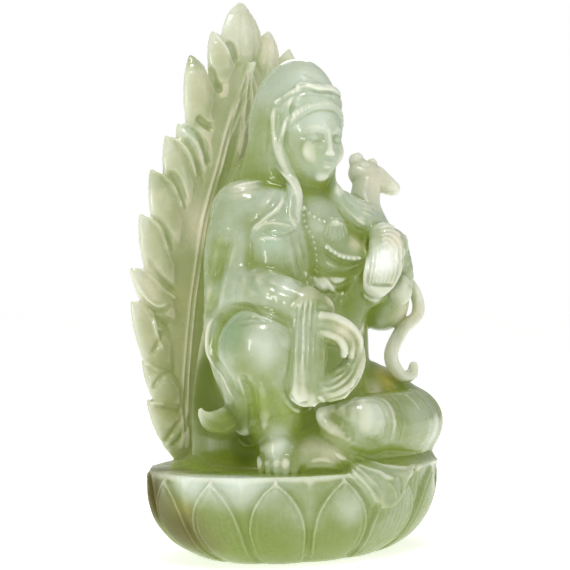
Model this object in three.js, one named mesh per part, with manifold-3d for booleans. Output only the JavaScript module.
// A carved pale green jade Guanyin, seated at ease on a lotus plinth before a flaming halo, all one stone.
// Millimetres, +Z up, the front of the figure faces -Y and its own left hand is towards +X.
// The origin is the middle of the plinth's underside.
import * as THREE from "three";
import { mergeVertices } from "three/addons/utils/BufferGeometryUtils.js";
import Module from "manifold-3d";

const wasm = await Module();
wasm.setup();

// Lotus plinth, an oval bowl
const plinthWidth = 138;
const plinthDepth = 96;
const plinthHeight = 37;
const petalCount = 14;
const petalRelief = 2.6;
const petalTurn = 0.57; // of one petal, from the middle of the front

// Figure, from the top of the plinth to the crown of its hood, and where it sits off the plinth's middle
const figureHeight = 172;
const seatAcross = -1.2;
const seatBack = 1.2;

// Flaming halo behind the figure
const haloHeight = 202; // from the top of the plinth to the tip of the top flame
const haloHalfWidth = 43; // the plate that the flames grow from
const haloThickness = 11;
const haloInset = 9.3; // from the plinth's back rim to the middle of the halo
const borderInset = 9; // from the plate's edge to the raised border
const borderWidth = 4;
const flameReach = 17; // how far the widest flames stand out of the plate
const flameThickness = 9.5;

const haloSetback = plinthDepth / 2 - haloInset;
const haloReach = haloHalfWidth + flameReach;

const backwards = new THREE.Vector3(0, 1, 0);
const upwards = new THREE.Vector3(0, 0, 1);
// out of the cloth that runs over the plinth's front rim
const overRim = new THREE.Vector3(0.1, -0.5, 0.85).normalize();

// Every place and size on the figure is in thousandths of its own height.
const share = (size) => (size * figureHeight) / 1000;
const seat = new THREE.Vector3(seatAcross, seatBack, plinthHeight);
const at = ([x, y, z]) => new THREE.Vector3(share(x), share(y), share(z)).add(seat);

// A closed three.js geometry as a solid that can be joined and cut
function solidOf(geometry) {
  const bare = geometry.clone();
  for (const name of Object.keys(bare.attributes)) {
    if (name !== "position") bare.deleteAttribute(name);
  }
  const merged = mergeVertices(bare, 1e-4);
  return new wasm.Manifold(
    new wasm.Mesh({
      numProp: 3,
      vertProperties: merged.attributes.position.array,
      triVerts: new Uint32Array(merged.index.array),
    }),
  );
}

function joined(solids) {
  return solids.reduce((sum, next) => sum.add(next));
}

// An ellipsoid, turned by Euler angles in degrees
function ellipsoid(centre, radii, turn = [0, 0, 0], detail = 2) {
  const shape = new THREE.IcosahedronGeometry(1, detail);
  const spin = new THREE.Euler(...turn.map(THREE.MathUtils.degToRad));
  const place = new THREE.Matrix4().compose(
    centre,
    new THREE.Quaternion().setFromEuler(spin),
    new THREE.Vector3(...radii),
  );
  return solidOf(shape.applyMatrix4(place));
}

// A closed skin over rings of points, each ring counter-clockwise about the way the rings follow one another
function loft(rings, startPole, endPole) {
  const sides = rings[0].length;
  const points = [...rings.flat(), startPole, endPole];
  const start = rings.length * sides;
  const last = (rings.length - 1) * sides;
  const index = [];
  for (let k = 0; k < sides; k++) {
    const next = (k + 1) % sides;
    index.push(start, next, k);
    index.push(start + 1, last + k, last + next);
    for (let row = 0; row < last; row += sides) {
      index.push(row + k, row + next, row + next + sides);
      index.push(row + k, row + next + sides, row + k + sides);
    }
  }
  const geometry = new THREE.BufferGeometry().setFromPoints(points);
  geometry.setIndex(index);
  return solidOf(geometry);
}

// A limb swept along a smooth curve, round at both ends. Its section is an ellipse: each radius times
// wide across the direction that side names, and times deep the other way. A groove sinks every other
// corner of the section, for cloth that hangs in flutes.
function sweep(points, radii, { wide = 1, deep = 1, side = backwards, sides = 7, steps = 2, groove = 0 } = {}) {
  const curve = new THREE.CatmullRomCurve3(points);
  const spans = points.length - 1;
  const count = spans * steps;
  const thin = Math.min(wide, deep);
  const ringAt = (u, shrink, slide) => {
    const place = Math.min(u * spans, spans - 1e-9);
    const first = Math.floor(place);
    const within = THREE.MathUtils.smoothstep(place - first, 0, 1);
    const radius = THREE.MathUtils.lerp(radii[first], radii[first + 1], within);
    const along = curve.getTangent(u);
    const across = side.clone().cross(along).normalize();
    const up = along.clone().cross(across);
    const middle = curve.getPoint(u).addScaledVector(along, slide * radius * thin);
    return Array.from({ length: sides }, (_, k) => {
      const angle = (2 * Math.PI * k) / sides;
      const reach = radius * shrink * (k % 2 ? 1 - groove : 1);
      return middle
        .clone()
        .addScaledVector(across, Math.cos(angle) * reach * wide)
        .addScaledVector(up, Math.sin(angle) * reach * deep);
    });
  };
  const rings = [ringAt(0, Math.SQRT1_2, -Math.SQRT1_2)];
  for (let i = 0; i <= count; i++) rings.push(ringAt(i / count, 1, 0));
  rings.push(ringAt(1, Math.SQRT1_2, Math.SQRT1_2));
  const start = curve.getPoint(0).addScaledVector(curve.getTangent(0), -radii[0] * thin);
  const end = curve.getPoint(1).addScaledVector(curve.getTangent(1), radii[spans] * thin);
  return loft(rings, start, end);
}

const blob = (centre, radii, turn, detail) => ellipsoid(at(centre), radii.map(share), turn, detail);
const limb = (points, radii, options) => sweep(points.map(at), radii.map(share), options);

// Up the plinth: height as a share of the plinth's, its width there as a share of the greatest, how much of
// its gap a petal fills and how much of the petals' relief it has
const plinthRows = [
  { level: 0, width: 0.63, petal: 0.8, relief: 0.3 },
  { level: 0.06, width: 0.72, petal: 0.86, relief: 0.9 },
  { level: 0.2, width: 0.845, petal: 0.9, relief: 1 },
  { level: 0.42, width: 0.945, petal: 0.9, relief: 1 },
  { level: 0.64, width: 0.99, petal: 0.72, relief: 1 },
  { level: 0.82, width: 1, petal: 0.36, relief: 0.8 },
  { level: 0.93, width: 1, petal: 0.07, relief: 0.5 },
  { level: 1, width: 0.985, petal: 0.07, relief: 0 },
];

function lotusPlinth() {
  const step = (2 * Math.PI) / petalCount;
  const rings = plinthRows.map(({ level, width, petal, relief }) => {
    const beside = petal + (1 - petal) * 0.4;
    const ring = [];
    for (let i = 0; i < petalCount; i++) {
      // across one petal, in half gaps: its rounded face, its two edges and the valleys beside them
      for (const across of [-beside, -petal, -petal / 3, petal / 3, petal, beside]) {
        const angle = (i + petalTurn + across / 2) * step;
        const [right, front] = [Math.sin(angle), -Math.cos(angle)];
        const spot = new THREE.Vector3(right * plinthWidth, front * plinthDepth, 0).multiplyScalar(width / 2);
        const outwards = new THREE.Vector3(right / plinthWidth, front / plinthDepth, 0).normalize();
        const inPetal = Math.abs(across) <= petal;
        const rise = inPetal ? relief * (1 - 0.35 * (across / petal) ** 2) : 0;
        spot.addScaledVector(outwards, petalRelief * (rise - relief));
        ring.push(spot.setZ(level * plinthHeight));
      }
    }
    return ring;
  });
  return [loft(rings, new THREE.Vector3(), new THREE.Vector3(0, 0, plinthHeight))];
}

// How wide the halo's plate is at a share of its height, as a share of its greatest half width
function haloShare(level) {
  const widest = 0.35;
  if (level < widest) return THREE.MathUtils.lerp(0.74, 1, THREE.MathUtils.smoothstep(level, 0, widest));
  const narrowing = Math.min((level - widest) / (1 - widest), 1) ** 1.25;
  return Math.cos((Math.PI / 2) * narrowing) ** 0.75;
}

// The side flames, lowest first. A tip is a share of the halo's half width with its flames and of its
// height, a foot is a share of the plate's half width and of the height, half is half the flame's own
// width as a share of the flames' reach, and lift is how much higher it stands on the figure's left.
const sideFlames = [
  { tip: [0.82, 0.129], foot: [0.66, 0.01], half: 0.5 },
  { tip: [0.86, 0.213], foot: [0.8, 0.1], half: 0.47 },
  { tip: [0.95, 0.337], foot: [0.92, 0.18], half: 0.53 },
  { tip: [0.96, 0.406], foot: [0.84, 0.28], half: 0.47 },
  { tip: [0.88, 0.52], foot: [0.91, 0.34], half: 0.53 },
  { tip: [0.79, 0.616], foot: [0.84, 0.43], half: 0.53 },
  { tip: [0.665, 0.69], foot: [0.72, 0.52], half: 0.5 },
  { tip: [0.56, 0.718], foot: [0.56, 0.6], half: 0.44 },
  { tip: [0.455, 0.869], foot: [0.51, 0.7], half: 0.53, lift: 0.025 },
  { tip: [0.26, 0.927], foot: [0.25, 0.8], half: 0.44, lift: 0.017 },
];

function flamingHalo() {
  const plateTop = haloHeight * 0.88;
  const outline = [];
  const stations = 16;
  for (let i = 0; i <= stations; i++) {
    const level = 0.03 + (0.97 * i) / stations;
    outline.push(new THREE.Vector2(haloHalfWidth * haloShare(level), level * plateTop));
  }
  const lower = new THREE.Vector2(outline[0].x, -4);
  const right = [lower, ...outline];
  const left = right.slice(0, -1).reverse().map((p) => new THREE.Vector2(-p.x, p.y));
  const plate = new THREE.ExtrudeGeometry(new THREE.Shape([...right, ...left]), {
    depth: haloThickness,
    bevelEnabled: false,
  });
  plate.rotateX(Math.PI / 2).translate(seatAcross, haloSetback + haloThickness / 2, plinthHeight);
  const parts = [solidOf(plate)];

  const flame = (foot, tip, half) => {
    const rise = new THREE.Vector2().subVectors(tip, foot);
    const bend = Math.sign(tip.x) * -0.04 * rise.length();
    const spine = [0, 0.4, 0.75, 1].map((t) => {
      const p = foot.clone().addScaledVector(rise, t);
      p.x += bend * Math.sin(Math.PI * t);
      return new THREE.Vector3(p.x + seatAcross, haloSetback - 2 * Math.sin(Math.PI * t), plinthHeight + p.y);
    });
    const widths = [0.8, 1.04, 0.74, 0.15].map((share) => share * half);
    parts.push(sweep(spine, widths, { deep: flameThickness / 2 / half, steps: 1, sides: 6 }));
  };
  for (const { tip, foot, half, lift = 0 } of sideFlames) {
    for (const side of [-1, 1]) {
      const raise = side > 0 ? lift : 0;
      flame(
        new THREE.Vector2(side * foot[0] * haloHalfWidth, (foot[1] + raise) * haloHeight),
        new THREE.Vector2(side * tip[0] * haloReach, (tip[1] + raise) * haloHeight),
        half * flameReach,
      );
    }
  }
  flame(new THREE.Vector2(0, haloHeight * 0.84), new THREE.Vector2(0, haloHeight), 0.65 * flameReach);

  // the raised border, a pointed oval on the front of the plate
  const face = haloSetback - haloThickness / 2;
  for (const side of [-1, 1]) {
    const border = [0.05, 0.2, 0.38, 0.56, 0.72, 0.86].map((level) => {
      const narrowing = Math.cos((Math.PI / 2) * (level / 0.86) ** 1.7) ** 0.8;
      const across = side * (haloHalfWidth - borderInset) * narrowing;
      return new THREE.Vector3(across + seatAcross, face, plinthHeight + level * haloHeight);
    });
    parts.push(sweep(border, border.map(() => borderWidth / 2), { sides: 6, steps: 1 }));
  }
  return parts;
}

// The hooded head, bowed a little, with the face set into the hood's opening
function head() {
  const bow = [10, 0, 0];
  const hood = joined([
    blob([0, 0, 836], [106, 128, 163], bow),
    limb([[0, 10, 800], [0, 45, 690], [0, 70, 560]], [110, 132, 150], { sides: 12 }),
  ]);
  const opening = blob([4, -118, 800], [96, 74, 130], bow);
  const face = blob([5, -52, 796], [88, 90, 112], bow);
  const parts = [
    hood.subtract(opening),
    face,
    limb([[0, -136, 812], [0, -147, 786], [0, -142, 776]], [8, 11, 10], { sides: 6, steps: 1 }),
    limb([[0, -25, 720], [0, -15, 620]], [56, 66]),
    // the hair and the crown across the brow
    limb([[-88, -46, 888], [-54, -98, 908], [0, -118, 914], [54, -98, 908], [88, -46, 888]], [11, 12, 14, 12, 11],
      { sides: 6, steps: 1 }),
  ];
  for (const side of [-1, 1]) {
    // the hood's edge beside the cheek runs on as a scarf down to the chest
    const edge = [[88, -42, 850], [82, -50, 770], [62, -66, 700], [74, -102, 650], [96, -122, 590]];
    parts.push(limb(edge.map(([x, y, z]) => [side * x, y, z]), [16, 16, 18, 22, 18], { steps: 1 }));
  }
  return parts;
}

function torso() {
  const toHalo = haloSetback - seatBack;
  const back = at([0, 0, 440]).setY(seatBack + toHalo * 0.57);
  return [
    limb(
      [[0, 5, 70], [0, 0, 190], [0, -6, 330], [0, -12, 440], [0, 0, 560], [0, 15, 650]],
      [230, 190, 150, 142, 160, 90],
      { deep: 0.84, sides: 12, steps: 1 },
    ),
    // the stone left between the back and the halo
    ellipsoid(back, [share(184), toHalo * 0.48, share(356)], [0, 0, 0], 1),
    limb([[-138, 22, 612], [0, 22, 642], [146, 20, 608]], [78, 76, 76], { steps: 1 }),
    limb([[130, 30, 580], [165, 16, 480], [148, 0, 340], [140, -10, 210]], [76, 78, 74, 78], { steps: 1 }),
    limb([[110, -30, 560], [124, -58, 460], [100, -50, 360]], [72, 74, 72], { steps: 1 }),
    blob([10, 20, 40], [230, 180, 62], [0, 0, 0], 1), // the low seat under the robe
    // breast ornament and girdle
    limb([[-84, -112, 590], [0, -152, 545], [84, -112, 590]], [12, 16, 12], { sides: 6, steps: 1 }),
    limb([[-110, -112, 455], [-20, -146, 440], [110, -112, 455]], [24, 30, 24], { sides: 6, steps: 1 }),
  ];
}

// The figure's right arm lies along the raised knee, and its wide sleeve hangs over the shin.
function rightArm() {
  return [
    limb([[-138, 15, 615], [-172, -5, 510], [-190, -40, 408]], [78, 82, 86], { sides: 8, steps: 1 }),
    limb([[-190, -40, 412], [-186, -135, 408], [-146, -215, 385]], [80, 66, 54], { sides: 8 }),
    // the cloth between arm and breast
    limb([[-100, -40, 590], [-118, -76, 500], [-120, -96, 420]], [84, 84, 76], { steps: 1 }),
    // the sleeve hanging in flutes
    limb([[-140, -226, 384], [-156, -252, 285], [-158, -252, 192]], [42, 50, 48],
      { wide: 1.2, deep: 0.7, sides: 14, steps: 1, groove: 0.16 }),
    // the hand, curled into a ring with the cuff below it
    limb(
      [[-112, -236, 388], [-62, -254, 336], [-26, -256, 268], [-62, -264, 202], [-108, -260, 228]],
      [38, 34, 22, 38, 32],
    ),
  ];
}

function rightLeg() {
  const parts = [
    limb([[-90, 40, 170], [-155, -60, 235], [-206, -145, 282]], [110, 104, 98], { sides: 8, steps: 1 }),
    blob([-208, -148, 284], [104, 103, 107]),
    limb([[-205, -155, 262], [-188, -160, 140], [-170, -160, 50]], [92, 68, 60], { steps: 1 }),
    limb([[-225, -110, 250], [-238, -118, 150], [-244, -118, 60]], [74, 56, 44], { steps: 1 }),
    limb([[-140, -140, 50], [-185, -195, 48], [-214, -226, 24]], [54, 52, 34], { wide: 1.1, steps: 1 }), // foot
    // the robe's hem behind the leg, ending in a turned-up corner beside the foot
    limb([[-190, 20, 420], [-252, -32, 330], [-256, -66, 235], [-232, -104, 140]], [64, 52, 44, 28],
      { deep: 0.8, steps: 1 }),
    limb([[-226, -108, 132], [-285, -110, 94], [-348, -88, 126]], [26, 34, 10], { side: upwards, sides: 6 }),
  ];
  for (let toe = 0; toe < 5; toe++) {
    const x = -254 + toe * 15;
    const y = -214 - toe * 11;
    parts.push(limb([[x + 10, y + 14, 28], [x, y, 15]], [9 + toe, 9 + toe], { sides: 6, steps: 1 }));
  }
  return parts;
}

// The left leg is folded flat, knee out to the side and wrapped foot tucked in front. Under it the robe
// fans out in folds and spills over the rim of the plinth.
function leftLeg() {
  const parts = [
    limb([[80, 20, 150], [200, -25, 152], [298, -80, 102]], [112, 98, 84], { steps: 1 }),
    blob([300, -92, 92], [90, 90, 86]),
    limb([[298, -98, 92], [195, -180, 100], [70, -212, 104]], [82, 76, 70], { sides: 8, steps: 1 }),
    limb([[62, -238, 118], [8, -246, 124], [-84, -214, 140]], [56, 50, 12], { sides: 8, steps: 1 }),
    blob([-50, -170, 40], [134, 82, 64], [0, 0, 0], 1), // cloth between the feet
    limb([[-150, -236, 20], [-90, -252, 22], [-44, -262, 6]], [22, 26, 24], { sides: 6, steps: 1 }),
  ];
  // each fold's drop below the rim, as a share of the plinth's height
  [0.14, 0.38, 0.5, 0.34, 0.18, 0.08].forEach((drop, i) => {
    const across = THREE.MathUtils.lerp(-0.125, 0.76, i / 5);
    const under = at([-100, -200, 62]).lerp(at([250, -110, 20]), i / 5);
    const fold = [under, onRim(across, 0.037), onRim(across + 0.045, drop)];
    parts.push(sweep(fold, [34, 40, 18].map(share), { deep: 0.5, side: overRim, sides: 6, steps: 1 }));
  });
  return parts;
}

// A place on the plinth's front, at a share of its half width to one side and of its height below the rim
function onRim(across, drop) {
  const forward = (plinthDepth / 2) * Math.sqrt(1 - across ** 2) - share(10) - share(60) * drop ** 2;
  return new THREE.Vector3(across * (plinthWidth / 2), -forward, plinthHeight * (1 - drop));
}

// The left arm is raised, its wide sleeve hangs in flutes, and the fist closes on the neck of an animal's head.
function leftArm() {
  return [
    limb([[146, 18, 608], [206, -8, 588], [236, -36, 552]], [76, 66, 54], { steps: 1 }),
    limb([[236, -36, 552], [242, -52, 470], [236, -66, 390]], [54, 56, 66], { steps: 1 }),
    limb([[236, -66, 390], [222, -120, 460], [200, -146, 530]], [64, 54, 40], { steps: 1 }),
    limb([[176, -108, 572], [194, -150, 552], [222, -142, 534]], [30, 36, 28], { sides: 6 }),
    limb([[240, -40, 565], [246, 10, 640], [266, 24, 700]], [42, 44, 42], { steps: 1 }),
    limb([[258, 36, 732], [290, 20, 718], [322, -12, 692]], [36, 34, 20], { steps: 1 }),
    blob([246, 44, 764], [22, 20, 24], [0, 0, 0], 1),
    blob([284, 28, 756], [17, 16, 18], [0, 0, 0], 1),
    // the scarf that crosses from the neck to this arm
    limb([[92, -112, 640], [145, -108, 600], [190, -104, 574]], [26, 28, 26], { sides: 6, steps: 1 }),
    limb([[160, -158, 524], [156, -172, 465], [142, -178, 408]], [50, 52, 46],
      { wide: 1.5, deep: 0.6, sides: 16, steps: 1, groove: 0.14 }),
    // the ribbon that loops from the sleeve down to the lap
    limb(
      [
        [222, -130, 486], [298, -120, 424], [306, -124, 366], [256, -120, 326],
        [220, -118, 262], [242, -128, 212], [286, -122, 212], [290, -126, 236],
      ],
      [15, 17, 18, 20, 20, 20, 18, 12],
      { wide: 0.8, sides: 6 },
    ),
  ];
}

const jade = new THREE.MeshStandardMaterial({ color: "#a9bb8d", roughness: 0.28, metalness: 0 });

const stone = joined([
  ...lotusPlinth(),
  ...flamingHalo(),
  ...torso(),
  ...head(),
  ...rightArm(),
  ...rightLeg(),
  ...leftLeg(),
  ...leftArm(),
]);

const carved = stone.getMesh();
const geometry = new THREE.BufferGeometry();
geometry.setAttribute("position", new THREE.BufferAttribute(carved.vertProperties, 3));
geometry.setIndex(new THREE.BufferAttribute(carved.triVerts, 1));
geometry.computeVertexNormals();

const guanyin = new THREE.Mesh(geometry, jade);
guanyin.name = "guanyin";

const figure = new THREE.Group();
figure.add(guanyin);
export default figure;
